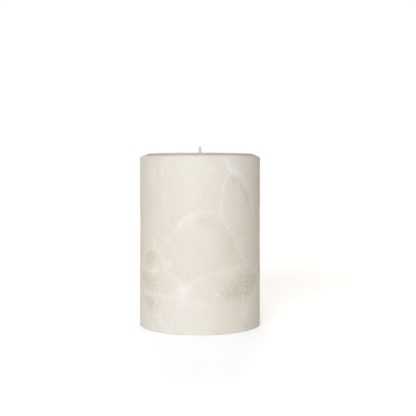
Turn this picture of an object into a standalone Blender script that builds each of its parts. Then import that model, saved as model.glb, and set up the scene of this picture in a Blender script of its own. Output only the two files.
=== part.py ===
"""Unity candle: a straight-sided pillar cast from crystal-forming palm wax, with its cotton wick.

The candle stands on the plane z = 0 with its axis on +Z.  The seven pieces, from the outside in:

    cast_pillar      the wax body, poured into a round mould with a sloping shoulder
    second_pour      the wax that tops up the hollow left when the first pour shrinks
    base_seal        the thin disc of wax that closes the base under the wick's foot
    wick_sustainer   the stamped tinplate tab whose neck grips the foot of the wick
    wick_ply_1 .. 3  the three plies of the flat plaited cotton wick

Units are metres.
"""
import math

import bpy
from mathutils import Vector

# The pillar, as it leaves the mould
DIAMETER = 0.0700
MOULD_DEPTH = 0.1000
LEVELLED_OFF = 0.0008            # wax melted away from the base on a hot plate to level it
HEIGHT = MOULD_DEPTH - LEVELLED_OFF
RADIUS = DIAMETER / 2
SHOULDER_RUN = 0.0045            # the sloping shoulder, measured in from the side
SHOULDER_DROP = 0.0019           # and down from the flat top
SHOULDER_ROUND = 0.0020
TOP_ROUND = 0.0030               # soft change of slope between shoulder and flat top
FOOT_ROUND = 0.0008

# What the wick pin and the cooling wax leave inside
BORE_TOP_RADIUS = 0.0013         # the pin is tapered so that it pulls out of the base
BORE_FOOT_RADIUS = 0.0017
WELL_MOUTH_RADIUS = 0.0220       # the bowl that shrinkage opens in the base
WELL_DEPTH = 0.0183
WELL_RINGS = 8
GAP = 0.0003                     # between pieces that touch

# The foot of the wick
SHEET = 0.0003                   # tinplate
TAB_RADIUS = 0.0100
TAB_UNDERSIDE = 0.0026
BEAD_RADIUS = 0.0065             # stiffening ring pressed into the tab
BEAD_WIDTH = 0.0022
BEAD_RISE = 0.0004
NECK_INNER_RADIUS = 0.00125
NECK_TOP = 0.0090
NECK_BEND = 0.0006
TAB_EDGE_ROUND = 0.0004
POCKET_TOP = TAB_UNDERSIDE + SHEET + BEAD_RISE + GAP
POCKET_RADIUS = TAB_RADIUS + GAP
NECK_CLEARANCE_RADIUS = NECK_INNER_RADIUS + SHEET + GAP

# The wick: three plies, each a flattened figure of eight when seen from above
PLIES = 3
PLY_RADIUS = 0.00027
PLAIT_HALF_WIDTH = 0.00065       # to the middle of a ply
PLAIT_HALF_DEPTH = 0.00050
PLAIT_PITCH = 0.0080             # height in which a ply crosses over and back
POINTS_PER_PITCH = 12
WICK_EXPOSED = 0.0042            # above the flat top
WICK_LEAN = 0.0004               # the free end leans this far towards -X
CUT_ANGLE = math.radians(30)     # the trimmed end is higher on its -X side

PILLAR_STEPS = 72
POUR_STEPS = 48
TAB_STEPS = 36
ARC_STEPS = 4


def clear_scene():
    """Remove every object that the scene holds."""
    for thing in list(bpy.data.objects):
        bpy.data.objects.remove(thing, do_unlink=True)


def make_collection(name):
    """A collection for the candle's parts, linked to the scene."""
    collection = bpy.data.collections.new(name)
    bpy.context.scene.collection.children.link(collection)
    return collection


def make_material(name, colour, roughness, metallic=0.0):
    """A Principled material with a linear colour."""
    material = bpy.data.materials.new(name)
    material.use_nodes = True
    shader = material.node_tree.nodes["Principled BSDF"]
    shader.inputs["Base Color"].default_value = (*colour, 1.0)
    shader.inputs["Roughness"].default_value = roughness
    shader.inputs["Metallic"].default_value = metallic
    return material


def fillet(before, corner, after, radius, steps=ARC_STEPS):
    """Points of the arc that rounds a corner of an outline."""
    to_before = (before - corner).normalized()
    to_after = (after - corner).normalized()
    half_angle = to_before.angle(to_after) / 2
    tangent = radius / math.tan(half_angle)
    centre = corner + (to_before + to_after).normalized() * (radius / math.sin(half_angle))
    start = corner + to_before * tangent - centre
    end = corner + to_after * tangent - centre
    sweep = math.pi - 2 * half_angle
    points = []
    for step in range(steps + 1):
        share = step / steps
        near = math.sin((1 - share) * sweep) / math.sin(sweep)
        far = math.sin(share * sweep) / math.sin(sweep)
        points.append(centre + start * near + end * far)
    return points


def outline(corners):
    """An outline of (radius, height, corner round), with the rounds turned into arcs."""
    places = [Vector((radius, height)) for radius, height, _ in corners]
    points = []
    for index, (_, _, corner_round) in enumerate(corners):
        if corner_round:
            before, after = places[index - 1], places[(index + 1) % len(places)]
            points += fillet(before, places[index], after, corner_round)
        else:
            points.append(places[index])
    return points


def well_profile(mouth_radius, depth, axis_radius):
    """The bowl of the shrinkage well, from its mouth in the base up to a bore."""
    points = []
    for ring in range(WELL_RINGS + 1):
        radius = mouth_radius + (axis_radius - mouth_radius) * ring / WELL_RINGS
        points.append(Vector((radius, depth * (1 - (radius / mouth_radius) ** 2))))
    return points


def profile_object(name, points, closed, collection):
    """A profile in the XZ plane, ready to be turned about Z."""
    edges = [(index, index + 1) for index in range(len(points) - 1)]
    if closed:
        edges.append((len(points) - 1, 0))
    mesh = bpy.data.meshes.new(name)
    mesh.from_pydata([(point.x, 0.0, point.y) for point in points], edges, [])
    thing = bpy.data.objects.new(name, mesh)
    collection.objects.link(thing)
    return thing


def turn(thing, steps):
    """Turn a profile once round Z."""
    screw = thing.modifiers.new("Turn", "SCREW")
    screw.axis = "Z"
    screw.steps = steps
    screw.render_steps = steps
    screw.use_merge_vertices = True
    screw.merge_threshold = 0.00001


def finish(thing, material):
    """Bake the modifiers, shade the round faces smooth and give the piece its material."""
    graph = bpy.context.evaluated_depsgraph_get()
    mesh = bpy.data.meshes.new_from_object(thing.evaluated_get(graph))
    thing.modifiers.clear()
    thing.data = mesh
    mesh.name = thing.name
    mesh.shade_smooth()
    mesh.set_sharp_from_angle(angle=math.radians(30))
    mesh.materials.clear()
    mesh.materials.append(material)


def cast_pillar(collection, material):
    """The wax body: flat top, sloping shoulder, plumb side, and the well and bore inside."""
    outside = outline([
        (BORE_TOP_RADIUS, HEIGHT, 0),
        (RADIUS - SHOULDER_RUN, HEIGHT, TOP_ROUND),
        (RADIUS, HEIGHT - SHOULDER_DROP, SHOULDER_ROUND),
        (RADIUS, 0, FOOT_ROUND),
        (WELL_MOUTH_RADIUS, 0, 0),
    ])
    well = well_profile(WELL_MOUTH_RADIUS, WELL_DEPTH, BORE_FOOT_RADIUS)
    thing = profile_object("cast_pillar", outside + well[1:], True, collection)
    turn(thing, PILLAR_STEPS)
    finish(thing, material)


def second_pour(collection, material):
    """The plug of wax in the well, with a pocket for the tab and a hole for its neck."""
    well = well_profile(WELL_MOUTH_RADIUS - GAP, WELL_DEPTH - GAP, NECK_CLEARANCE_RADIUS)
    pocket = outline([
        (NECK_CLEARANCE_RADIUS, POCKET_TOP, 0),
        (POCKET_RADIUS, POCKET_TOP, 0),
        (POCKET_RADIUS, 0, 0),
    ])
    thing = profile_object("second_pour", well[::-1] + pocket[::-1], True, collection)
    turn(thing, POUR_STEPS)
    finish(thing, material)


def base_seal(collection, material):
    """The disc of wax under the tab, flush with the base."""
    thickness = TAB_UNDERSIDE - GAP
    bpy.ops.mesh.primitive_cylinder_add(
        vertices=TAB_STEPS, radius=TAB_RADIUS, depth=thickness, location=(0, 0, thickness / 2))
    thing = bpy.context.object
    thing.name = "base_seal"
    for owner in list(thing.users_collection):
        owner.objects.unlink(thing)
    collection.objects.link(thing)
    bevel = thing.modifiers.new("Soft edge", "BEVEL")
    bevel.width = TAB_EDGE_ROUND
    bevel.segments = 2
    bevel.limit_method = "ANGLE"
    finish(thing, material)


def wick_sustainer(collection, material):
    """The tab: a thin disc with a pressed bead, drawn up into a neck in the middle."""
    middle = TAB_UNDERSIDE + SHEET / 2
    neck = NECK_INNER_RADIUS + SHEET / 2
    points = [Vector((neck, NECK_TOP))]
    points += fillet(Vector((neck, NECK_TOP)), Vector((neck, middle)),
                     Vector((TAB_RADIUS, middle)), NECK_BEND)
    bead_points = 2 * ARC_STEPS
    for step in range(bead_points + 1):
        share = step / bead_points
        radius = BEAD_RADIUS + BEAD_WIDTH * (share - 0.5)
        rise = BEAD_RISE * (1 - math.cos(2 * math.pi * share)) / 2
        points.append(Vector((radius, middle + rise)))
    points.append(Vector((TAB_RADIUS, middle)))
    thing = profile_object("wick_sustainer", points, False, collection)
    turn(thing, TAB_STEPS)
    sheet = thing.modifiers.new("Sheet", "SOLIDIFY")
    sheet.thickness = SHEET
    sheet.offset = 0
    sheet.use_even_offset = True
    finish(thing, material)


def plait_point(ply, angle):
    """Where the middle of a ply is at an angle of the plait's cycle."""
    phase = angle + 2 * math.pi * ply / PLIES
    height = TAB_UNDERSIDE + PLAIT_PITCH * angle / (2 * math.pi)
    free = max(0.0, height - HEIGHT) / WICK_EXPOSED
    return Vector((
        PLAIT_HALF_WIDTH * math.sin(phase) - WICK_LEAN * free ** 2,
        PLAIT_HALF_DEPTH * math.sin(2 * phase),
        height,
    ))


def above_cut(point):
    """How far a point is above the slanting cut at the wick's end."""
    return point.z - (HEIGHT + WICK_EXPOSED - (point.x + WICK_LEAN) * math.tan(CUT_ANGLE))


def ply_route(ply):
    """The points of one ply from the foot up to the cut."""
    step = 2 * math.pi / POINTS_PER_PITCH
    points = [plait_point(ply, 0)]
    while True:
        point = plait_point(ply, len(points) * step)
        if above_cut(point) >= 0:
            break
        points.append(point)
    last = points[-1]
    share = above_cut(last) / (above_cut(last) - above_cut(point))
    points.append(last.lerp(point, share))
    return points


def wick_ply(ply, collection, material):
    """One ply of the wick, a round strand of cotton yarns."""
    name = f"wick_ply_{ply + 1}"
    curve = bpy.data.curves.new(name, "CURVE")
    curve.dimensions = "3D"
    curve.bevel_depth = PLY_RADIUS
    curve.bevel_resolution = 2
    curve.use_fill_caps = True
    route = ply_route(ply)
    spline = curve.splines.new("POLY")
    spline.points.add(len(route) - 1)
    for place, point in zip(spline.points, route):
        place.co = (*point, 1.0)
        place.radius = 1.0
    spline.use_smooth = True
    curve.materials.append(material)
    collection.objects.link(bpy.data.objects.new(name, curve))


def main():
    clear_scene()
    candle = make_collection("unity_candle")
    wax = make_material("palm_wax", (0.80, 0.75, 0.67), 0.45)
    tinplate = make_material("tinplate", (0.62, 0.62, 0.60), 0.30, metallic=1.0)
    cotton = make_material("waxed_cotton", (0.72, 0.68, 0.60), 0.70)
    cast_pillar(candle, wax)
    second_pour(candle, wax)
    base_seal(candle, wax)
    wick_sustainer(candle, tinplate)
    for ply in range(PLIES):
        wick_ply(ply, candle, cotton)


main()
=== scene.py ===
"""The looks of the unity candle: an ivory palm-wax pillar, its plaited wick and its base.

Palm wax freezes in fans of fine crystals.  Each fan grows from a seed, and a pale seam is left
where two fans meet, so the pattern on the wax is worked out here from the seeds.
"""
import math

import bmesh
import bpy
import numpy as np
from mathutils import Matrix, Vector


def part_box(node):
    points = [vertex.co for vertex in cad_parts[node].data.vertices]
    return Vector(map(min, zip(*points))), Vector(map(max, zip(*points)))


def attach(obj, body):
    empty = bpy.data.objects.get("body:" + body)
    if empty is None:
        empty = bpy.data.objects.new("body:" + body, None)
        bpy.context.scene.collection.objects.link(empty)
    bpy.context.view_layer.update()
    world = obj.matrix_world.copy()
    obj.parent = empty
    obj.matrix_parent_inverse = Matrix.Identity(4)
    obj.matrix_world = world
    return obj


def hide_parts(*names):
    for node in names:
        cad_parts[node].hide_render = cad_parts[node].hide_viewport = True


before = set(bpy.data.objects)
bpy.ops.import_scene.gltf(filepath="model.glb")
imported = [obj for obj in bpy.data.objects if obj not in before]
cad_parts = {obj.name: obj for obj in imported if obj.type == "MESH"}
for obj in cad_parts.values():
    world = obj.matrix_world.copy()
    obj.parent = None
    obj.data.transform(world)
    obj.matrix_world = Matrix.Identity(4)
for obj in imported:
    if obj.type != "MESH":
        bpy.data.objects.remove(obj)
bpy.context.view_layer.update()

MM = 0.001
CLOSE = 0.1 * MM                   # a test takes places as near as this for the same
MERGE = 0.01 * MM                  # points nearer than this become one
FLAT = 0.9                         # how far a flat face's normal goes up or down, at least

# Sizes read from the frame
PILLAR_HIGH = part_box("cast_pillar")[1]
POUR_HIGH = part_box("second_pour")[1]
SEAL_LOW, SEAL_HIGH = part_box("base_seal")
TAB_LOW, TAB_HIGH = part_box("wick_sustainer")
WICK_TOP = max(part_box(f"wick_ply_{ply}")[1].z for ply in (1, 2, 3))
RADIUS = PILLAR_HIGH.y
HEIGHT = PILLAR_HIGH.z

# The pillar
PILLAR_SIDES = 320
SHOULDER_RUN = 4.5 * MM
SHOULDER_DROP = 1.9 * MM
SHOULDER_BEVEL = 0.6 * MM
TOP_BEVEL = 0.6 * MM
FOOT_BEVEL = 0.6 * MM
SIDE_CUTS = 11                     # made twice over, so the side has 144 rows
WICK_HOLE = 0.70 * MM              # where the wax grips the wick, at the very top
HOLE_DEPTH = 1.2 * MM
FLARE_DEPTH = 1.8 * MM             # below the hole, where it widens to the bore
BORE_RADIUS = 1.3 * MM
BORE_FOOT_RADIUS = 1.7 * MM
WELL_MOUTH = 22.0 * MM
WELL_DEPTH = 18.2 * MM
WELL_RINGS = 10

# The top, from its edge in to the wick: radius and rise of each ring in mm.  It is dished a
# little, and the wax climbs the wick.
TOP_RINGS = (
    (27.0, 0.0), (21.0, -0.03), (15.0, -0.08), (10.0, -0.10), (6.5, -0.06), (4.2, 0.0),
    (3.0, 0.05), (2.2, 0.10), (1.7, 0.14), (1.35, 0.16), (1.0, 0.18), (WICK_HOLE / MM, 0.08),
)

# The skin of the side
SEAM_REACH = 0.9                   # how far the ridge of a seam reaches, mm
SEAM_RIDGE = 0.04 * MM
WAVE_SIZE = 30 * MM
WAVE_HEIGHT = 0.16 * MM

# The second pour
POUR_SIDES = 120
POUR_RINGS = 10
POUR_OVERLAP = 0.2 * MM            # how far it has melted into the pillar
POUR_LIP = 0.4 * MM
POUR_TAPER = 0.985
POUR_OVER_TAB = 8.9 * MM           # how far it goes up past the tab
POUR_NECK = 1.85 * MM
POCKET_DEPTH = 1.0 * MM
POCKET_ROOM = 0.3 * MM             # between the tab's edge and the pocket

# The base seal
SEAL_SIDES = 96
SEAL_OVERLAP = 0.2 * MM
SEAL_BEVEL = 0.25 * MM
SEAL_RING = 2.0 * MM
SEAL_HOLLOW = (0.02 * MM, 0.06 * MM, 0.06 * MM, 0.03 * MM)

# The wick
PLIES = 3
PLAIT_HALF_WIDTH = 0.56 * MM
PLAIT_HALF_DEPTH = 0.44 * MM
PLAIT_PITCH = 8.0 * MM
WICK_LEAN = 0.15 * MM
WICK_FOOT = TAB_LOW.z
EXPOSED = WICK_TOP - HEIGHT
CUT_ANGLE = math.radians(10)
CUT_DROP = 0.35 * MM               # from the wick's highest fibre down to the middle of its cut
YARNS = 6
YARN_RADIUS = 0.125 * MM
YARN_ORBIT = 0.245 * MM
YARN_TWIST = 2.6 * MM              # height of one turn of the yarns in a ply
YARN_STEP = 0.3 * MM               # between two points of a yarn
YARN_SPARE = 0.6 * MM              # how far past the cut a yarn may run before it is trimmed
YARN_AHEAD = 0.05 * MM             # how far on the yarn's heading is taken

# The floor's glow under the candle and at its far edge
FLOOR_GLOW = 0.25
EDGE_GLOW = 0.50

# The seeds of the crystal fans: name, turn round the candle in degrees (0 is the front, and it
# grows to the right), height in mm, start (the later, the smaller the fan), sideways stretch,
# lean in degrees, and how much paler (+) or darker (-) the whole fan is
SEEDS = [
    ("rim_front", 0, 101, 0, 1.6, 0, 0.0),
    ("rim_left", -85, 101, -2, 1, 0, 0.04),
    ("rim_streak", -37, 101, 7, 1, 0, -0.08),
    ("rim_right", 52, 101, 4.3, 8.5, 0, 0.22),
    ("rim_far_right", 130, 101, 3, 1.5, 0, 0.0),
    ("rim_far_left", -145, 101, 0, 1.3, 0, 0.1),
    ("rim_back", 178, 101, 8, 1, 0, -0.1),
    ("dome", 4, 61.5, 28, 1, 0, -0.04),
    ("finger", 31.5, 85, 13.8, 0.88, -31, 0.02),
    ("left_high", -49, 41, 52, 1.3, 0, 0.08),
    ("left_middle", -45, 28, 53.5, 1.8, 0, 0.0),
    ("left_low", -45, 14, 54.5, 1.7, 0, 0.0),
    ("right_fan", 22, 22.2, 43.5, 1, 0, 0.0),
    ("right_foot", 60, 2, 48, 1, 0, 0.15),
    ("front_foot", -8, 7, 54, 1, 0, 0.04),
    ("left_foot", -80, 2, 46.5, 1, 0, 0.12),
    ("back_dome", 108, 58, 33, 0.9, 10, -0.06),
    ("back_finger", 158, 72, 25, 1, -8, 0.05),
    ("back_tall", -112, 66, 29, 0.9, 0, -0.05),
    ("back_wide", -164, 46, 42, 1.2, 0, 0.04),
    ("back_knot", -118, 34, 55, 1.4, 0, 0.06),
    ("back_arch", 122, 26, 56, 1.2, 0, -0.05),
    ("back_low", 168, 20, 56, 1.5, 0, 0.0),
    ("back_left_foot", -140, 12, 60, 1.2, 0, 0.08),
    ("back_right_foot", 98, 6, 58, 1.1, 0, 0.0),
    ("back_foot", 142, 2, 64, 1, 0, 0.1),
]

# Clear, darker wax inside a fan: the fan, turn, height, half width, half height (mm), lean and
# depth of the darker colour
CLEARINGS = [
    ("left_high", -53, 42, 8.5, 9.5, 0, 1.4),
    ("left_middle", -57, 28, 13, 6.5, 25, 1.3),
    ("left_low", -52, 15.5, 12, 6.5, 25, 1.4),
    ("right_fan", 46, 26, 24, 10.5, -18, 1.3),
    ("right_fan", 30, 21.5, 11, 4.5, 0, 0.6),
    ("dome", 2, 62, 3.5, 1.8, -35, 0.8),
    ("dome", 9, 60, 7, 3, 20, 0.5),
    ("dome", 34, 50, 12, 15, 20, 0.5),
    ("finger", 33, 83.5, 3.2, 2.6, 0, 0.8),
    ("finger", 50, 76, 7, 14, -38, 0.8),
    ("left_foot", -70, 10, 6, 6, 0, 0.2),
    ("right_foot", 50, 4, 4, 3, -30, 0.35),
    ("back_dome", 122, 46, 14, 17, 15, 0.6),
    ("back_dome", 108, 59, 5, 2.5, 30, 0.5),
    ("back_finger", 167, 64, 7, 17, -30, 0.7),
    ("back_tall", -124, 56, 9, 17, 20, 0.6),
    ("back_wide", -174, 38, 15, 9, 20, 0.8),
    ("back_knot", -126, 33, 11, 6, 20, 0.9),
    ("back_arch", 132, 27, 15, 7, -20, 0.9),
    ("back_low", 178, 19, 15, 7, -20, 0.9),
    ("back_left_foot", -148, 11, 10, 6, 20, 0.8),
    ("back_right_foot", 104, 8, 10, 6, -20, 0.8),
]

# Frosted wax, speckled white: turn, height, half width, half height (mm), lean, strength
FROSTS = [
    (-15, 24.5, 7, 8, -20, 1.1),
    (-28, 38, 3.5, 4, 0, 1.0),
    (-11, 61, 12, 5, -32, 0.65),
    (0, 17, 9, 4, 18, 0.7),
    (12, 89, 7, 5, -35, 0.5),
    (17, 22, 2.6, 1.0, 0, 2.0),
    (5, 54, 0.8, 11, -18, 0.8),
    (-38, 20, 12, 2.2, 0, 0.25),
    (27, 33, 14, 3, -5, 0.55),
    (32, 90, 12, 5, 20, 0.45),
    (-44, 36, 5, 5, 0, 0.6),
    (-48, 33.5, 5, 1.5, 0, 0.8),
    (-46, 87, 1.3, 12, 0, 1.1),
    (-40, 8, 9, 6, 30, 0.5),
    (5, 6, 8, 6, 0, 0.35),
    (57.5, 21, 1.0, 9, 47, 1.0),
    (46, 12, 8, 10, -20, 0.35),
    (86, 70, 12, 16, 0, 0.4),
    (112, 35, 12, 5, 0, 0.7),
    (145, 40, 9, 7, 0, 0.7),
    (-138, 38, 10, 6, 0, 0.8),
    (-100, 78, 8, 10, 0, 0.5),
    (180, 86, 12, 8, 0, 0.4),
    (-160, 22, 10, 6, 0, 0.6),
]

# Stretches where the seams fade: turn, height, half width, half height (mm), lean, share lost
FADES = [
    (-46, 65, 8, 19, 0, 0.85),
    (-2, 6, 26, 14, 0, 0.85),
    (-58, 6, 8, 9, 0, 0.85),
    (62, 52, 8, 14, 0, 0.85),
    (40, 1, 12, 10, 0, 0.85),
    (-42, 84, 7, 8, 0, 0.85),
    (-17, 27, 8, 6, 20, 0.6),
    (-34, 49, 6, 9, 20, 0.4),
    (-38, 20, 11, 3, 0, 0.4),
]
FADE_CORE = 0.4                    # share of a fade's radius over which it is at its fullest
SPOT_DEPTH = 30.0                  # how far a spot goes into the wax, mm
NEVER = 1000.0                     # later than any fan arrives


# ---------------------------------------------------------------- small tools

def deselect_all():
    """Leave edit mode and select nothing."""
    if bpy.context.object and bpy.context.object.mode != "OBJECT":
        bpy.ops.object.mode_set(mode="OBJECT")
    bpy.ops.object.select_all(action="DESELECT")


def make_active(piece):
    """Make a piece the only selected one and the active one."""
    deselect_all()
    bpy.context.view_layer.objects.active = piece
    piece.select_set(True)


def round_blank(name, sides, radius, depth):
    """A cylinder that stands on the floor, in edit mode."""
    deselect_all()
    bpy.ops.mesh.primitive_cylinder_add(
        vertices=sides, radius=radius, depth=depth, location=(0, 0, depth / 2))
    piece = bpy.context.object
    piece.name = name
    bpy.ops.object.transform_apply(location=True)
    make_active(piece)
    bpy.ops.object.mode_set(mode="EDIT")
    return piece


def pick_faces(piece, wanted):
    """Select the faces whose middle and normal pass a test."""
    bpy.ops.mesh.select_mode(type="FACE")
    bpy.ops.mesh.select_all(action="DESELECT")
    mesh = bmesh.from_edit_mesh(piece.data)
    for face in mesh.faces:
        face.select_set(wanted(face.calc_center_median(), face.normal))
    mesh.select_flush_mode()
    bmesh.update_edit_mesh(piece.data)


def pick_edges(piece, wanted):
    """Select the edges whose two ends pass a test."""
    bpy.ops.mesh.select_mode(type="EDGE")
    bpy.ops.mesh.select_all(action="DESELECT")
    mesh = bmesh.from_edit_mesh(piece.data)
    for edge in mesh.edges:
        edge.select_set(wanted(edge.verts[0].co, edge.verts[1].co))
    bmesh.update_edit_mesh(piece.data)


def axis_distance(point):
    """How far a point is from the candle's axis."""
    return math.hypot(point.x, point.y)


def draw_face(rise, scale):
    """Extrude the selected round face along the axis and scale it about the axis."""
    bpy.ops.mesh.extrude_region_move(TRANSFORM_OT_translate={"value": (0, 0, rise)})
    bpy.ops.transform.resize(value=(scale, scale, 1), center_override=(0, 0, 0))


def cap_at(height):
    """A test for the small face that closes a hole on the axis at a height."""
    return lambda middle, normal: axis_distance(middle) < CLOSE and abs(middle.z - height) < CLOSE


def underside(middle, normal):
    """A test for the flat face on the floor."""
    return normal.z < -FLAT and middle.z < CLOSE


def upper_side(middle, normal):
    """A test for the flat faces that look up."""
    return normal.z > FLAT


def close_piece(angle=30):
    """Merge doubles, leave edit mode and shade the round faces smooth."""
    bpy.ops.mesh.select_all(action="SELECT")
    bpy.ops.mesh.remove_doubles(threshold=MERGE)
    bpy.ops.mesh.normals_make_consistent(inside=False)
    bpy.ops.object.mode_set(mode="OBJECT")
    bpy.ops.object.transform_apply(location=True, rotation=True, scale=True)
    bpy.ops.object.shade_smooth_by_angle(angle=math.radians(angle))


def linear(hex_colour):
    """An sRGB hex colour as linear red, green, blue and alpha."""
    parts = [int(hex_colour[place:place + 2], 16) / 255 for place in (0, 2, 4)]
    curve = [part / 12.92 if part <= 0.04045 else ((part + 0.055) / 1.055) ** 2.4 for part in parts]
    return (*curve, 1.0)


def add_node(tree, kind, inputs=None, **settings):
    """Add a node with its settings, and set or link its inputs."""
    node = tree.nodes.new(kind)
    for name, value in settings.items():
        setattr(node, name, value)
    for key, value in (inputs or {}).items():
        if isinstance(value, bpy.types.NodeSocket):
            tree.links.new(value, node.inputs[key])
        else:
            node.inputs[key].default_value = value
    return node


def new_material(name):
    """A material with its tree and its Principled shader."""
    material = bpy.data.materials.new(name)
    material.use_nodes = True
    return material, material.node_tree, material.node_tree.nodes["Principled BSDF"]


def dress(piece, material, node):
    """Give a finished piece its material and hand it to the frame."""
    piece.data.materials.append(material)
    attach(piece, "root")
    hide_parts(node)


# ---------------------------------------------------------------- crystal growth

def seed_place(turn, height):
    """A place on the side of the candle, in mm."""
    angle = math.radians(turn)
    reach = RADIUS / MM
    return Vector((reach * math.sin(angle), -reach * math.cos(angle), height))


def seam_distance(points):
    """How long after the first fan the second one would reach each point (points in mm)."""
    arrivals = []
    for _, turn, height, start, stretch, lean, _ in SEEDS:
        offset = points - np.array(seed_place(turn, height))
        angle, tilt = math.radians(turn), math.radians(lean)
        across = offset[:, 0] * math.cos(angle) + offset[:, 1] * math.sin(angle)
        inward = -offset[:, 0] * math.sin(angle) + offset[:, 1] * math.cos(angle)
        side = across * math.cos(tilt) - offset[:, 2] * math.sin(tilt)
        rise = across * math.sin(tilt) + offset[:, 2] * math.cos(tilt)
        arrivals.append(start + np.sqrt((side / stretch) ** 2 + inward ** 2 + rise ** 2))
    arrivals = np.sort(np.array(arrivals), axis=0)
    return arrivals[1] - arrivals[0]


def grow_fans(tree, position):
    """The winning fan at each point, and how near its seam is.

    Given back are the gap to the seam, the place as seen from the fan's seed, the fan's number
    and its tone.
    """
    nearest = second = fan_place = number = tone = None
    for index, (_, turn, height, start, stretch, lean, fan_tone) in enumerate(SEEDS):
        local = add_node(tree, "ShaderNodeMapping", {
            "Vector": position, "Location": seed_place(turn, height),
            "Rotation": (0, math.radians(lean), math.radians(turn)), "Scale": (stretch, 1.0, 1.0),
        }, vector_type="TEXTURE").outputs[0]
        reach = add_node(tree, "ShaderNodeVectorMath", {0: local}, operation="LENGTH").outputs["Value"]
        arrival = add_node(tree, "ShaderNodeMath", {0: reach, 1: start}, operation="ADD").outputs[0]
        if nearest is None:
            nearest, fan_place = arrival, local
            second, number, tone = NEVER, 0.0, fan_tone
            continue
        pair = {0: arrival, 1: nearest}
        wins = add_node(tree, "ShaderNodeMath", pair, operation="LESS_THAN").outputs[0]
        later = add_node(tree, "ShaderNodeMath", pair, operation="MAXIMUM").outputs[0]
        second = add_node(tree, "ShaderNodeMath", {0: second, 1: later}, operation="MINIMUM").outputs[0]
        nearest = add_node(tree, "ShaderNodeMath", pair, operation="MINIMUM").outputs[0]
        fan_place = add_node(tree, "ShaderNodeMix", {0: wins, 4: fan_place, 5: local},
                             data_type="VECTOR").outputs[1]
        number = add_node(tree, "ShaderNodeMix", {0: wins, 2: number, 3: index}).outputs[0]
        tone = add_node(tree, "ShaderNodeMix", {0: wins, 2: tone, 3: fan_tone}).outputs[0]
    gap = add_node(tree, "ShaderNodeMath", {0: second, 1: nearest}, operation="SUBTRACT").outputs[0]
    return gap, fan_place, number, tone


# ---------------------------------------------------------------- materials

def place_in_mm(tree):
    """The place on the piece, in its own coordinates, in mm."""
    place = add_node(tree, "ShaderNodeTexCoord").outputs["Object"]
    return add_node(tree, "ShaderNodeVectorMath", {0: place, "Scale": 1 / MM},
                    operation="SCALE").outputs[0]


def sum_of(tree, *parts, start=0.0):
    """A start and the sum of some amounts, each times its own share."""
    total = start
    for amount, share in parts:
        total = add_node(tree, "ShaderNodeMath", {0: amount, 1: share, 2: total},
                         operation="MULTIPLY_ADD").outputs[0]
    return total


def soft_spot(tree, position, turn, height, half_width, half_height, lean, core=0.0):
    """1 in the middle of a spot on the side, falling smoothly to 0 at its edge."""
    local = add_node(tree, "ShaderNodeMapping", {
        "Vector": position, "Location": seed_place(turn, height),
        "Rotation": (0, math.radians(lean), math.radians(turn)),
        "Scale": (half_width, SPOT_DEPTH, half_height),
    }, vector_type="TEXTURE").outputs[0]
    nearness = add_node(tree, "ShaderNodeTexGradient", {"Vector": local},
                        gradient_type="SPHERICAL").outputs["Fac"]
    return add_node(tree, "ShaderNodeMapRange", {
        "Value": nearness, "From Max": 1.0 - core}, interpolation_type="SMOOTHSTEP").outputs[0]


def fan_fibres(tree, fan_place, number):
    """Fibres that spread from each seed and differ from fan to fan, as much above 0 as below.

    They widen and lengthen away from the seed, and the fan's number shifts them.
    """
    parts = add_node(tree, "ShaderNodeSeparateXYZ", {0: fan_place})
    angle = add_node(tree, "ShaderNodeMath", {0: parts.outputs[0], 1: parts.outputs[2]},
                     operation="ARCTAN2").outputs[0]
    reach = add_node(tree, "ShaderNodeVectorMath", {0: fan_place},
                     operation="LENGTH").outputs["Value"]
    reach = add_node(tree, "ShaderNodeMath", {0: reach, 1: 2.0}, operation="ADD").outputs[0]
    reach = add_node(tree, "ShaderNodeMath", {0: reach, 1: 2.0}, operation="LOGARITHM").outputs[0]
    place = add_node(tree, "ShaderNodeCombineXYZ", {0: angle, 1: reach, 2: number}).outputs[0]
    place = add_node(tree, "ShaderNodeVectorMath", {0: place, 1: (9.0, 1.2, 3.7)},
                     operation="MULTIPLY").outputs[0]
    fibres = add_node(tree, "ShaderNodeTexNoise", {
        "Vector": place, "Scale": 1.6, "Detail": 4.0, "Roughness": 0.6}).outputs["Fac"]
    return add_node(tree, "ShaderNodeMath", {0: fibres, 1: 0.5}, operation="SUBTRACT").outputs[0]


def pale_seams(tree, position, gap, clouds, flecks):
    """The seams: a thin pale line with a soft glow on both sides, stronger in some stretches."""
    line = add_node(tree, "ShaderNodeMapRange", {
        "Value": gap, "From Min": 0.1, "From Max": 1.1, "To Min": 1.0, "To Max": 0.0,
    }, interpolation_type="SMOOTHSTEP").outputs[0]
    glow = add_node(tree, "ShaderNodeMapRange", {
        "Value": gap, "From Min": 0.0, "From Max": 4.5, "To Min": 1.0, "To Max": 0.0,
    }, interpolation_type="SMOOTHSTEP").outputs[0]
    strength = add_node(tree, "ShaderNodeMapRange", {
        "Value": clouds, "To Min": 0.45, "To Max": 1.25}).outputs[0]
    line = add_node(tree, "ShaderNodeMath", {0: line, 1: strength}, operation="MULTIPLY").outputs[0]
    broken = add_node(tree, "ShaderNodeMath", {0: flecks, 1: 0.45}, operation="ADD").outputs[0]
    line = add_node(tree, "ShaderNodeMath", {0: line, 1: broken}, operation="MULTIPLY").outputs[0]
    seams = sum_of(tree, (line, 0.26), (glow, 0.10))
    for *spot_shape, share in FADES:
        spot = soft_spot(tree, position, *spot_shape, FADE_CORE)
        kept = sum_of(tree, (spot, -share), start=1.0)
        seams = add_node(tree, "ShaderNodeMath", {0: seams, 1: kept}, operation="MULTIPLY").outputs[0]
    return seams


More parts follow.
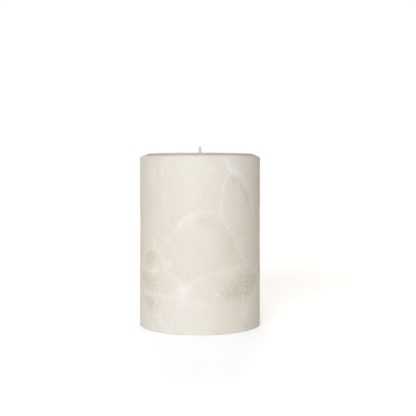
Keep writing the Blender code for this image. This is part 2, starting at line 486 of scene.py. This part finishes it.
def clear_patches(tree, position, number, fibres, mottle):
    """Darker clear wax inside some fans, streaked along the fibres."""
    patches = 0.0
    names = [seed[0] for seed in SEEDS]
    for fan, *spot_shape, depth in CLEARINGS:
        spot = soft_spot(tree, position, *spot_shape)
        inside = add_node(tree, "ShaderNodeMath", {0: number, 1: names.index(fan), 2: 0.5},
                          operation="COMPARE").outputs[0]
        spot = add_node(tree, "ShaderNodeMath", {0: spot, 1: inside}, operation="MULTIPLY").outputs[0]
        patches = sum_of(tree, (spot, depth), start=patches)
    streaks = sum_of(tree, (fibres, 1.6), (mottle, 0.9), start=1.0)
    return add_node(tree, "ShaderNodeMath", {0: patches, 1: streaks}, operation="MULTIPLY").outputs[0]


def white_frost(tree, position, flecks):
    """White frost, in speckles."""
    frost = 0.0
    for *spot_shape, strength in FROSTS:
        spot = soft_spot(tree, position, *spot_shape)
        frost = sum_of(tree, (spot, strength), start=frost)
    speckle = add_node(tree, "ShaderNodeMath", {0: flecks, 1: 0.15}, operation="ADD").outputs[0]
    return add_node(tree, "ShaderNodeMath", {0: frost, 1: speckle}, operation="MULTIPLY").outputs[0]


def palm_wax():
    """Cast palm wax: ivory, a little translucent, with a satin skin.

    The fans, the clear patches and the white frost are inside the wax, so they show as colour.
    The skin itself has only a very fine grain.
    """
    material, tree, shader = new_material("Cast ivory palm wax")
    in_mm = place_in_mm(tree)
    # The fronts wander by half a millimetre, and their edges are feathered
    position = in_mm
    for scale, roughness, sway in ((0.45, 0.5, 1.5), (2.2, 0.7, 1.1)):
        noise = add_node(tree, "ShaderNodeTexNoise", {
            "Vector": in_mm, "Scale": scale, "Detail": 2.0, "Roughness": roughness}).outputs["Color"]
        shift = add_node(tree, "ShaderNodeVectorMath", {
            0: noise, 1: (sway,) * 3, 2: (-sway / 2,) * 3}, operation="MULTIPLY_ADD").outputs[0]
        position = add_node(tree, "ShaderNodeVectorMath", {0: position, 1: shift}).outputs[0]
    gap, fan_place, number, tone = grow_fans(tree, position)

    # Mottle of single crystals, about 1 mm, stronger on the flanks, where the wax set more slowly
    mottle = add_node(tree, "ShaderNodeTexNoise", {
        "Vector": in_mm, "Scale": 1.0, "Detail": 2.0, "Roughness": 0.65}).outputs["Fac"]
    mottle = add_node(tree, "ShaderNodeMath", {0: mottle, 1: 0.5}, operation="SUBTRACT").outputs[0]
    parts = add_node(tree, "ShaderNodeSeparateXYZ", {0: in_mm})
    aside = add_node(tree, "ShaderNodeMath", {0: parts.outputs[0]}, operation="ABSOLUTE").outputs[0]
    contrast = add_node(tree, "ShaderNodeMapRange", {
        "Value": aside, "From Min": 10.0, "From Max": 22.0, "To Min": 0.8, "To Max": 2.1}).outputs[0]
    mottle = add_node(tree, "ShaderNodeMath", {0: mottle, 1: contrast},
                      operation="MULTIPLY").outputs[0]
    # Flecks of frost, about 0.7 mm
    flecks = add_node(tree, "ShaderNodeTexNoise", {
        "Vector": in_mm, "Scale": 1.4, "Detail": 3.0, "Roughness": 0.75}).outputs["Fac"]
    flecks = add_node(tree, "ShaderNodeMapRange", {
        "Value": flecks, "From Min": 0.46, "From Max": 0.62}).outputs[0]
    # Slow clouds, about 9 mm
    clouds = add_node(tree, "ShaderNodeTexNoise", {
        "Vector": in_mm, "Scale": 0.11, "Detail": 3.0, "Roughness": 0.55}).outputs["Fac"]
    clouds = add_node(tree, "ShaderNodeMapRange", {
        "Value": clouds, "From Min": 0.35, "From Max": 0.65}).outputs[0]

    fibres = fan_fibres(tree, fan_place, number)
    seams = pale_seams(tree, position, gap, clouds, flecks)
    patches = clear_patches(tree, position, number, fibres, mottle)

    # Painted shade on the shoulder and round the edge of the top, which face up into weaker light
    level = parts.outputs[2]
    side_top = (HEIGHT - SHOULDER_DROP) / MM
    top_edge = (RADIUS - SHOULDER_RUN) / MM
    flat = add_node(tree, "ShaderNodeVectorMath", {0: in_mm, 1: (1.0, 1.0, 0.0)},
                    operation="MULTIPLY").outputs[0]
    from_axis = add_node(tree, "ShaderNodeVectorMath", {0: flat}, operation="LENGTH").outputs["Value"]
    high = add_node(tree, "ShaderNodeMapRange", {
        "Value": level, "From Min": side_top, "From Max": side_top + 1.0,
    }, interpolation_type="SMOOTHSTEP").outputs[0]
    outer = add_node(tree, "ShaderNodeMapRange", {
        "Value": from_axis, "From Min": top_edge - 6.0, "From Max": top_edge + 1.0, "To Max": 0.9,
    }, interpolation_type="SMOOTHSTEP").outputs[0]
    painted_shoulder_shade = add_node(tree, "ShaderNodeMath", {0: high, 1: outer}, operation="MULTIPLY").outputs[0]

    # Painted shade along the foot's edge, where it meets the floor
    painted_foot_shade = add_node(tree, "ShaderNodeMapRange", {
        "Value": level, "From Min": 0.2, "From Max": 1.3, "To Min": 1.0, "To Max": 0.0,
    }, interpolation_type="SMOOTHSTEP").outputs[0]
    # Painted light: the side is paler towards the foot, standing in for light bounced up from the floor
    painted_floor_bounce = add_node(tree, "ShaderNodeMapRange", {
        "Value": level, "From Min": 3.0, "From Max": 45.0, "To Min": 1.0, "To Max": 0.0,
    }, interpolation_type="SMOOTHSTEP").outputs[0]
    frost = white_frost(tree, position, flecks)

    # Cloudy bloom in a ragged band under the rim, chilled by the mould
    ragged = add_node(tree, "ShaderNodeTexNoise", {
        "Vector": in_mm, "Scale": 0.16, "Detail": 5.0, "Roughness": 0.6}).outputs["Fac"]
    band_edge = add_node(tree, "ShaderNodeMath", {0: ragged, 1: 18.0, 2: HEIGHT / MM - 20.5},
                         operation="MULTIPLY_ADD").outputs[0]
    bloom = add_node(tree, "ShaderNodeMath", {0: level, 1: band_edge}, operation="SUBTRACT").outputs[0]
    bloom = add_node(tree, "ShaderNodeMapRange", {"Value": bloom, "From Max": 6.5},
                     interpolation_type="SMOOTHSTEP").outputs[0]

    # What darkens and what whitens the wax, with the painted shade at the foot and the painted light
    # low on the side
    dark = sum_of(tree, (patches, 0.62), (painted_foot_shade, 0.496), (fibres, -0.35), (mottle, 0.9), (tone, -0.6))
    white = sum_of(tree, (seams, 1.0), (frost, 0.6), (painted_floor_bounce, 0.2), (fibres, 0.2), (mottle, -0.45),
                   (tone, 0.4))
    # Plain ivory, and laid over it the bloom, the clear wax, the white wax and the painted shade on the
    # shoulder
    colour = linear("D6CAB6")
    for share, tint in ((bloom, "D3CAB9"), (dark, "C5B89F"), (white, "EAE2D7"), (painted_shoulder_shade, "A99F8E")):
        colour = add_node(tree, "ShaderNodeMix", {0: share, 6: colour, 7: linear(tint)},
                          data_type="RGBA").outputs[2]

    # The skin's grain, about 0.3 mm
    grain = add_node(tree, "ShaderNodeTexNoise", {
        "Vector": in_mm, "Scale": 3.2, "Detail": 3.0, "Roughness": 0.6}).outputs["Fac"]
    bump = add_node(tree, "ShaderNodeBump", {
        "Strength": 0.12, "Distance": 0.05 * MM, "Height": grain}).outputs[0]
    roughness = add_node(tree, "ShaderNodeMapRange", {
        "Value": flecks, "To Min": 0.52, "To Max": 0.62}).outputs[0]

    tree.links.new(colour, shader.inputs["Base Color"])
    tree.links.new(roughness, shader.inputs["Roughness"])
    tree.links.new(bump, shader.inputs["Normal"])
    shader.inputs["IOR"].default_value = 1.44
    shader.inputs["Specular IOR Level"].default_value = 0.3
    shader.inputs["Subsurface Weight"].default_value = 0.4
    shader.inputs["Subsurface Radius"].default_value = (1.0, 0.60, 0.35)
    shader.inputs["Subsurface Scale"].default_value = 3.0 * MM
    return material


def waxed_cotton():
    """Bleached cotton yarn primed with wax: off-white, fibrous and a little shiny."""
    material, tree, shader = new_material("Wax-primed cotton yarn")
    in_mm = place_in_mm(tree)
    # Single fibres are 0.02 mm; they are drawn at 0.08 mm so that they show
    stretched = add_node(tree, "ShaderNodeMapping", {
        "Vector": in_mm, "Scale": (12.0, 12.0, 2.5)}).outputs[0]
    fibres = add_node(tree, "ShaderNodeTexNoise", {
        "Vector": stretched, "Scale": 1.0, "Detail": 3.0}).outputs["Fac"]
    blotch = add_node(tree, "ShaderNodeTexNoise", {
        "Vector": in_mm, "Scale": 1.1, "Detail": 2.0}).outputs["Fac"]
    colour = add_node(tree, "ShaderNodeMix", {
        0: fibres, 6: linear("E4D8C2"), 7: linear("F8F0E2")}, data_type="RGBA").outputs[2]
    soaked = add_node(tree, "ShaderNodeMapRange", {
        "Value": blotch, "From Min": 0.4, "From Max": 0.7, "To Max": 0.5}).outputs[0]
    colour = add_node(tree, "ShaderNodeMix", {
        0: soaked, 6: colour, 7: linear("DDCFB4")}, data_type="RGBA").outputs[2]
    bump = add_node(tree, "ShaderNodeBump", {
        "Strength": 0.5, "Distance": 0.03 * MM, "Height": fibres}).outputs[0]
    tree.links.new(colour, shader.inputs["Base Color"])
    tree.links.new(bump, shader.inputs["Normal"])
    shader.inputs["Roughness"].default_value = 0.62
    shader.inputs["IOR"].default_value = 1.5
    shader.inputs["Sheen Weight"].default_value = 0.25
    shader.inputs["Sheen Roughness"].default_value = 0.5
    return material


def tinplate():
    """Stamped tinplate: bright tin over steel, with fine rolling lines along X."""
    material, tree, shader = new_material("Stamped tinplate")
    in_mm = place_in_mm(tree)
    rolled = add_node(tree, "ShaderNodeMapping", {
        "Vector": in_mm, "Scale": (0.15, 9.0, 9.0)}).outputs[0]
    lines = add_node(tree, "ShaderNodeTexNoise", {
        "Vector": rolled, "Scale": 1.0, "Detail": 3.0}).outputs["Fac"]
    colour = add_node(tree, "ShaderNodeMix", {
        0: lines, 6: linear("C9C9C6"), 7: linear("E4E4E0")}, data_type="RGBA").outputs[2]
    roughness = add_node(tree, "ShaderNodeMapRange", {
        "Value": lines, "To Min": 0.22, "To Max": 0.38}).outputs[0]
    tree.links.new(colour, shader.inputs["Base Color"])
    tree.links.new(roughness, shader.inputs["Roughness"])
    shader.inputs["Metallic"].default_value = 1.0
    return material


# ---------------------------------------------------------------- the wax pieces

def cast_pillar(material):
    """The pillar: a cylinder whose top is inset to a shoulder, with the bore and well inside."""
    side_top = HEIGHT - SHOULDER_DROP
    piece = round_blank("pillar_wax", PILLAR_SIDES, RADIUS, side_top)

    # Shoulder, top and bore
    pick_faces(piece, upper_side)
    bpy.ops.mesh.inset(thickness=SHOULDER_RUN, depth=SHOULDER_DROP)
    radius, height = RADIUS - SHOULDER_RUN, HEIGHT
    for next_radius, rise in TOP_RINGS:
        next_radius *= MM
        bpy.ops.mesh.inset(thickness=radius - next_radius, depth=rise * MM)
        radius = next_radius
        height += rise * MM
    draw_face(-HOLE_DEPTH, 1.0)
    draw_face(-FLARE_DEPTH, BORE_RADIUS / WICK_HOLE)
    height -= HOLE_DEPTH + FLARE_DEPTH
    draw_face(WELL_DEPTH - height, BORE_FOOT_RADIUS / BORE_RADIUS)

    # The well, from the base up to the foot of the bore
    pick_faces(piece, underside)
    bpy.ops.mesh.inset(thickness=RADIUS - WELL_MOUTH)
    radius, height = WELL_MOUTH, 0.0
    for ring in range(1, WELL_RINGS + 1):
        next_radius = WELL_MOUTH + (BORE_FOOT_RADIUS - WELL_MOUTH) * ring / WELL_RINGS
        share = (next_radius ** 2 - BORE_FOOT_RADIUS ** 2) / (WELL_MOUTH ** 2 - BORE_FOOT_RADIUS ** 2)
        next_height = WELL_DEPTH * (1 - share)
        draw_face(next_height - height, next_radius / radius)
        radius, height = next_radius, next_height
    pick_faces(piece, cap_at(WELL_DEPTH))
    bpy.ops.mesh.delete(type="ONLY_FACE")
    bpy.ops.mesh.select_all(action="SELECT")
    bpy.ops.mesh.remove_doubles(threshold=MERGE)

    # Rows on the side, for the fine relief
    def up_the_side(first, second):
        return (min(axis_distance(first), axis_distance(second)) > RADIUS - CLOSE
                and abs(first.z - second.z) > CLOSE)

    pick_edges(piece, up_the_side)
    bpy.ops.mesh.subdivide(number_cuts=SIDE_CUTS)
    pick_edges(piece, up_the_side)
    bpy.ops.mesh.subdivide(number_cuts=SIDE_CUTS)

    # Rounded shoulder, top edge and foot
    def ring_at(radius, height):
        def wanted(first, second):
            return all(abs(axis_distance(point) - radius) < CLOSE
                       and abs(point.z - height) < CLOSE for point in (first, second))
        return wanted

    pick_edges(piece, ring_at(RADIUS, side_top))
    bpy.ops.mesh.bevel(offset=SHOULDER_BEVEL, segments=4)
    pick_edges(piece, ring_at(RADIUS - SHOULDER_RUN, HEIGHT))
    bpy.ops.mesh.bevel(offset=TOP_BEVEL, segments=3)
    pick_edges(piece, ring_at(RADIUS, 0))
    bpy.ops.mesh.bevel(offset=FOOT_BEVEL, segments=4)
    close_piece()
    dress(piece, material, "cast_pillar")
    return piece


def relief(piece):
    """The skin of the pillar: seams stand up by a few hundredths, and the side waves a little."""
    mesh = piece.data
    places = np.empty(len(mesh.vertices) * 3)
    mesh.vertices.foreach_get("co", places)
    places = places.reshape(-1, 3)
    weights = np.exp(-(seam_distance(places / MM) / SEAM_REACH) ** 2)
    outside = np.hypot(places[:, 0], places[:, 1]) > RADIUS - CLOSE
    seams = piece.vertex_groups.new(name="seams")
    side = piece.vertex_groups.new(name="side")
    for index in np.flatnonzero(outside):
        seams.add([int(index)], float(weights[index]), "REPLACE")
        side.add([int(index)], 1.0, "REPLACE")
    make_active(piece)
    clouds = bpy.data.textures.new("slow waves", "CLOUDS")
    clouds.noise_scale = WAVE_SIZE
    clouds.noise_depth = 1
    waves = piece.modifiers.new("waves", "DISPLACE")
    waves.texture = clouds
    waves.texture_coords = "LOCAL"
    waves.vertex_group = "side"
    waves.strength = WAVE_HEIGHT
    waves.mid_level = 0.5
    bpy.ops.object.modifier_apply(modifier=waves.name)
    raised = piece.modifiers.new("raised seams", "DISPLACE")
    raised.vertex_group = "seams"
    raised.strength = SEAM_RIDGE
    raised.mid_level = 0.0
    bpy.ops.object.modifier_apply(modifier=raised.name)


def second_pour(material):
    """The wax in the well: a bowl-shaped plug with the pocket for the tab cut up into it."""
    mouth = POUR_HIGH.x + POUR_OVERLAP
    tip = TAB_HIGH.z + POUR_OVER_TAB
    piece = round_blank("second_pour_wax", POUR_SIDES, mouth, POUR_LIP)
    pick_faces(piece, upper_side)
    bpy.ops.transform.resize(value=(POUR_TAPER, POUR_TAPER, 1), center_override=(0, 0, 0))
    radius, height = mouth * POUR_TAPER, POUR_LIP
    for rings_left in range(POUR_RINGS, 0, -1):
        next_radius = radius + (POUR_NECK - radius) / rings_left
        next_height = tip * (1 - (next_radius / mouth) ** 2)
        draw_face(next_height - height, next_radius / radius)
        radius, height = next_radius, next_height

    # The pocket and the hole for the wick above it
    pocket_top = TAB_LOW.z + POCKET_DEPTH
    pocket_radius = TAB_HIGH.x + POCKET_ROOM
    pick_faces(piece, underside)
    bpy.ops.mesh.inset(thickness=mouth - pocket_radius)
    draw_face(pocket_top, 1.0)
    bpy.ops.mesh.inset(thickness=pocket_radius - POUR_NECK)
    draw_face(height - pocket_top, 1.0)
    pick_faces(piece, cap_at(height))
    bpy.ops.mesh.delete(type="ONLY_FACE")
    close_piece()
    dress(piece, material, "second_pour")


def base_seal(material):
    """The disc that closes the base, with a soft edge and a faint hollow where it shrank."""
    piece = round_blank(
        "base_seal_wax", SEAL_SIDES, SEAL_HIGH.x + SEAL_OVERLAP, SEAL_HIGH.z - SEAL_LOW.z)
    pick_edges(piece, lambda first, second: abs(first.z - second.z) < CLOSE)
    bpy.ops.mesh.bevel(offset=SEAL_BEVEL, segments=3)
    pick_faces(piece, lambda middle, normal: normal.z < -FLAT and axis_distance(middle) < CLOSE)
    for sink in SEAL_HOLLOW:
        bpy.ops.mesh.inset(thickness=SEAL_RING, depth=-sink)
    close_piece()
    dress(piece, material, "base_seal")


# ---------------------------------------------------------------- the wick

def plait_point(ply, height):
    """The middle of a ply at a height: seen from above it goes round a flat figure of eight."""
    phase = 2 * math.pi * ((height - WICK_FOOT) / PLAIT_PITCH + ply / PLIES)
    free = max(0.0, height - HEIGHT) / EXPOSED
    return Vector((
        PLAIT_HALF_WIDTH * math.sin(phase) - WICK_LEAN * free ** 2,
        PLAIT_HALF_DEPTH * math.sin(2 * phase),
        height,
    ))


def yarn_route(ply, yarn, top):
    """The points of one yarn: round its ply's middle, up to the slanting cut."""
    points = []
    length = top + YARN_SPARE - WICK_FOOT
    rows = int(length / YARN_STEP)
    for row in range(rows + 1):
        height = WICK_FOOT + length * row / rows
        middle = plait_point(ply, height)
        ahead = (plait_point(ply, height + YARN_AHEAD) - middle).normalized()
        across = ahead.cross(Vector((0, 1, 0))).normalized()
        out = ahead.cross(across)
        turn = 2 * math.pi * (height / YARN_TWIST + yarn / YARNS)
        orbit = YARN_ORBIT if yarn < YARNS else 0.0
        point = middle + orbit * (across * math.cos(turn) + out * math.sin(turn))
        if point.z + (point.x + WICK_LEAN) * math.tan(CUT_ANGLE) > top:
            break
        points.append(point)
    return points


def wick_ply(ply, material):
    """One ply: six yarns twisted round a seventh."""
    strands = []
    for yarn in range(YARNS + 1):
        curve = bpy.data.curves.new(f"yarn_{ply}_{yarn}", "CURVE")
        curve.dimensions = "3D"
        curve.bevel_depth = YARN_RADIUS
        curve.bevel_resolution = 1
        curve.use_fill_caps = True
        route = yarn_route(ply, yarn, WICK_TOP - CUT_DROP)
        spline = curve.splines.new("POLY")
        spline.points.add(len(route) - 1)
        for place, point in zip(spline.points, route):
            place.co = (*point, 1.0)
        spline.use_smooth = True
        strand = bpy.data.objects.new(curve.name, curve)
        bpy.context.scene.collection.objects.link(strand)
        strands.append(strand)
    deselect_all()
    for strand in strands:
        strand.select_set(True)
    bpy.context.view_layer.objects.active = strands[0]
    bpy.ops.object.convert(target="MESH")
    bpy.ops.object.join()
    piece = bpy.context.object
    piece.name = f"cotton_ply_{ply + 1}"
    bpy.ops.object.mode_set(mode="EDIT")
    close_piece(angle=60)
    dress(piece, material, f"wick_ply_{ply + 1}")


# ---------------------------------------------------------------- the studio

def studio_floor():
    """A wide pale floor that glows like a lit acrylic table, more towards its edge."""
    deselect_all()
    bpy.ops.mesh.primitive_plane_add(size=3.2, location=(0, 0, 0))
    floor = bpy.context.object
    floor.name = "floor"
    material, tree, shader = new_material("Pale acrylic table")
    shader.inputs["Base Color"].default_value = linear("F8F8F7")
    shader.inputs["Roughness"].default_value = 0.85
    shader.inputs["Specular IOR Level"].default_value = 0.1
    shader.inputs["Emission Color"].default_value = (1, 1, 1, 1)
    place = add_node(tree, "ShaderNodeTexCoord").outputs["Object"]
    reach = add_node(tree, "ShaderNodeVectorMath", {0: place}, operation="LENGTH").outputs["Value"]
    glow = add_node(tree, "ShaderNodeMapRange", {
        "Value": reach, "From Min": 0.2, "From Max": 0.8, "To Min": FLOOR_GLOW, "To Max": EDGE_GLOW,
    }, interpolation_type="SMOOTHSTEP").outputs[0]
    tree.links.new(glow, shader.inputs["Emission Strength"])
    floor.data.materials.append(material)


def softbox(name, turn, height, distance, width, tall, power, colour):
    """A rectangular softbox round the candle, aimed at its middle."""
    light = bpy.data.lights.new(name, "AREA")
    light.shape = "RECTANGLE"
    light.size = width
    light.size_y = tall
    light.energy = power
    light.color = linear(colour)[:3]
    lamp = bpy.data.objects.new(name, light)
    bpy.context.scene.collection.objects.link(lamp)
    angle = math.radians(turn)
    lamp.location = (distance * math.sin(angle), -distance * math.cos(angle), height)
    aim = Vector((0, 0, HEIGHT / 2)) - lamp.location
    lamp.rotation_euler = aim.to_track_quat("-Z", "Y").to_euler()


def studio_light():
    """A big softbox in front, two weak ones behind, a broad light above and white surroundings."""
    softbox("key", turn=-12, height=0.45, distance=1.5, width=0.9, tall=0.9,
            power=24.7, colour="D9E5FA")
    softbox("back_left", turn=-160, height=0.30, distance=1.5, width=0.7, tall=0.9,
            power=3.0, colour="EAF1FF")
    overhead = bpy.data.lights.new("overhead", "SUN")
    overhead.angle = math.radians(60)
    overhead.energy = 1.5
    overhead.color = linear("FFFAF2")[:3]
    lamp = bpy.data.objects.new("overhead", overhead)
    bpy.context.scene.collection.objects.link(lamp)
    lamp.location = (0, 0, 2)
    softbox("behind", turn=180, height=1.1, distance=1.2, width=0.6, tall=0.6,
            power=6.0, colour="FFF6E8")
    world = bpy.data.worlds.new("white surroundings")
    bpy.context.scene.world = world
    world.use_nodes = True
    tree = world.node_tree
    tree.nodes.clear()
    seen = add_node(tree, "ShaderNodeBackground", {"Color": (1, 1, 1, 1), "Strength": 1.0})
    lit = add_node(tree, "ShaderNodeBackground", {"Color": (1, 1, 1, 1), "Strength": 0.02})
    ray = add_node(tree, "ShaderNodeLightPath").outputs["Is Camera Ray"]
    mixed = add_node(tree, "ShaderNodeMixShader", {
        0: ray, 1: lit.outputs[0], 2: seen.outputs[0]}).outputs[0]
    add_node(tree, "ShaderNodeOutputWorld", {"Surface": mixed})


def camera():
    """A level camera a little below the candle's top."""
    data = bpy.data.cameras.new("camera")
    data.sensor_width = 36.0
    data.lens = 67.2
    data.shift_y = -0.0851
    data.clip_start = 0.01
    eye = bpy.data.objects.new("camera", data)
    bpy.context.scene.collection.objects.link(eye)
    eye.location = (0.00469, -0.455, 0.0883)
    eye.rotation_euler = (math.radians(90), 0, 0)
    bpy.context.scene.camera = eye


# ---------------------------------------------------------------- putting it together

wax = palm_wax()
cotton = waxed_cotton()
pillar = cast_pillar(wax)
relief(pillar)
second_pour(wax)
base_seal(wax)
for ply in range(PLIES):
    wick_ply(ply, cotton)
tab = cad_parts["wick_sustainer"]
tab.data.materials.clear()
tab.data.materials.append(tinplate())

studio_floor()
studio_light()
camera()
bpy.context.scene.view_settings.view_transform = "Standard"
